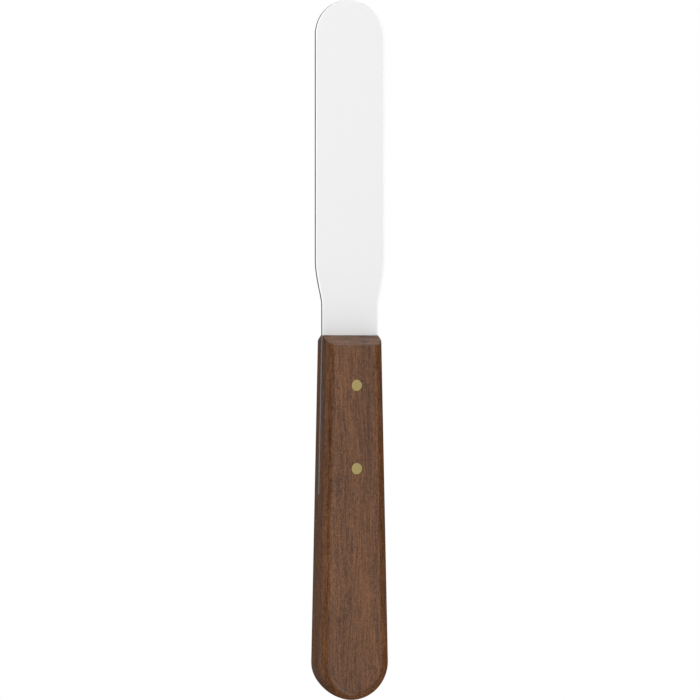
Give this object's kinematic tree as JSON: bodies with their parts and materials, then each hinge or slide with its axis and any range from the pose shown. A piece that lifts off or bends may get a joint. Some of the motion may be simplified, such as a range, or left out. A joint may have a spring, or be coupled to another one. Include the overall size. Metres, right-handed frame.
{
  "type": "palette knife",
  "caption": "Straight flat steel blade with a round tip, shouldered to a neck, its tang riveted in a slotted, tapered wooden handle with a rounded butt. For mixing and spreading paint.",
  "frame": {"origin": "on the ground under the middle of the butt, with the knife standing upright on its butt", "axes": "+Z along the knife from the butt to the blade's tip, -Y out of the front face of the handle, +X across the width to the right of the front face"},
  "size_m": [0.0214, 0.011, 0.2],
  "materials": {
    "blade_steel": "even satin",
    "handle_wood": "walnut brown, open grain, thin satin oil finish",
    "rivet_brass": "sanded flush with the wood, slightly dull"
  },
  "bodies": {
    "root": {"blade": "blade_steel", "handle": "handle_wood", "rivet_front": "rivet_brass", "rivet_rear": "rivet_brass"}
  },
  "joints": []
}
